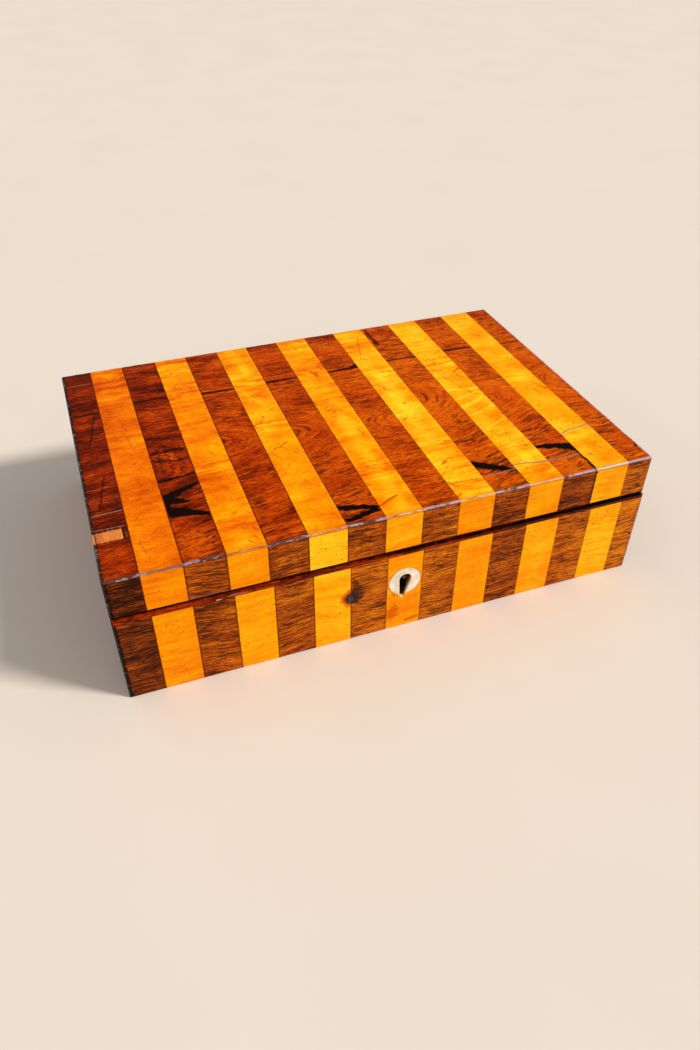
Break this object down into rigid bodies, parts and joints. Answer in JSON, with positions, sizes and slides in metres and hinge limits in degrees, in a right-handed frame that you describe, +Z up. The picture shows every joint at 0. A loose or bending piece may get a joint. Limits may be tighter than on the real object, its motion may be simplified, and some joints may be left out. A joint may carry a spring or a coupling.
{
  "type": "lap desk",
  "caption": "Small striped-veneer lap desk: a locking box that unfolds into one sloping leather writing surface over two storage wells, with a pen tray and an inkwell.",
  "frame": {"origin": "centre of the flat underside of the base", "axes": "+Z up, the keyhole side faces -Y, +X to the right of someone who faces the keyhole"},
  "size_m": [0.3, 0.206, 0.08],
  "materials": {
    "rosewood": "old French polish, glossy, with fine scratches",
    "satinwood": "old French polish, glossy, with fine scratches",
    "striped_veneer": "alternate satinwood and rosewood strips, worn polish",
    "plain_veneer": "dark rosewood, worn polish",
    "banding": "rosewood cross-banding, worn along its arris",
    "mahogany": "dull inside finish",
    "pine": "bare wood, darkened with age",
    "leather": "dark green skiver with a tooled border",
    "brass": "old lacquered brass, dulled",
    "steel": "dull iron",
    "bone": "polished bone, cream with darker streaks",
    "glass": "clear moulded glass"
  },
  "bodies": {
    "base": {"bottom_board": "pine", "base_front_board": "mahogany", "base_back_board": "mahogany", "base_left_board": "mahogany", "base_right_board": "mahogany", "base_front_veneer": "striped_veneer", "base_back_veneer": "plain_veneer", "base_left_veneer": "plain_veneer", "base_right_veneer": "plain_veneer", "base_rim_banding": "banding", "partition": "mahogany", "ink_divider_left": "mahogany", "ink_divider_right": "mahogany", "pen_tray": "mahogany", "inkwell": "glass", "inkwell_cap": "brass", "lock_case": "steel", "escutcheon": "bone", "base_flap_pin_left": "brass", "base_flap_pin_right": "brass", "hinge_left_base_leaf": "brass", "hinge_left_pin": "brass", "hinge_right_base_leaf": "brass", "hinge_right_pin": "brass"},
    "lid": {"top_strip_01": "rosewood", "top_strip_02": "satinwood", "top_strip_03": "rosewood", "top_strip_04": "satinwood", "top_strip_05": "rosewood", "top_strip_06": "satinwood", "top_strip_07": "rosewood", "top_strip_08": "satinwood", "top_strip_09": "rosewood", "top_strip_10": "satinwood", "top_strip_11": "rosewood", "top_strip_12": "satinwood", "top_strip_13": "rosewood", "top_strip_14": "satinwood", "top_strip_15": "rosewood", "lid_top_board": "pine", "lid_front_board": "mahogany", "lid_back_board": "mahogany", "lid_left_board": "mahogany", "lid_right_board": "mahogany", "lid_front_veneer": "striped_veneer", "lid_back_veneer": "plain_veneer", "lid_left_veneer": "plain_veneer", "lid_right_veneer": "plain_veneer", "lid_rim_banding": "banding", "lid_flap_bearer": "mahogany", "link_plate": "brass", "lid_flap_pin_left": "brass", "lid_flap_pin_right": "brass", "hinge_left_lid_leaf": "brass", "hinge_right_lid_leaf": "brass"},
    "base_flap_body": {"base_flap": "mahogany", "base_flap_leather": "leather"},
    "lid_flap_body": {"lid_flap": "mahogany", "lid_flap_leather": "leather"},
    "bolt_body": {"lock_bolt": "steel"}
  },
  "joints": [
    {"name": "lid_hinge", "type": "hinge", "parent": "base", "child": "lid", "pos_m": [0, 0.1021, 0.04], "axis": [-1, 0, 0], "range_deg": [0, 180]},
    {"name": "base_flap_hinge", "type": "hinge", "parent": "base", "child": "base_flap_body", "pos_m": [0, 0.0889, 0.03719], "axis": [-1, 0, 0], "range_deg": [0, 72]},
    {"name": "lid_flap_hinge", "type": "hinge", "parent": "lid", "child": "lid_flap_body", "pos_m": [0, 0.0889, 0.04482], "axis": [-1, 0, 0], "range_deg": [-54, 0]},
    {"name": "bolt_slide", "type": "slide", "parent": "base", "child": "bolt_body", "axis": [1, 0, 0], "range_m": [0, 0.004]}
  ],
  "couplings": [
    {"joint": "base_flap_hinge", "follows": "lid_hinge", "ratio": 0.4},
    {"joint": "lid_flap_hinge", "follows": "lid_hinge", "ratio": -0.3}
  ]
}
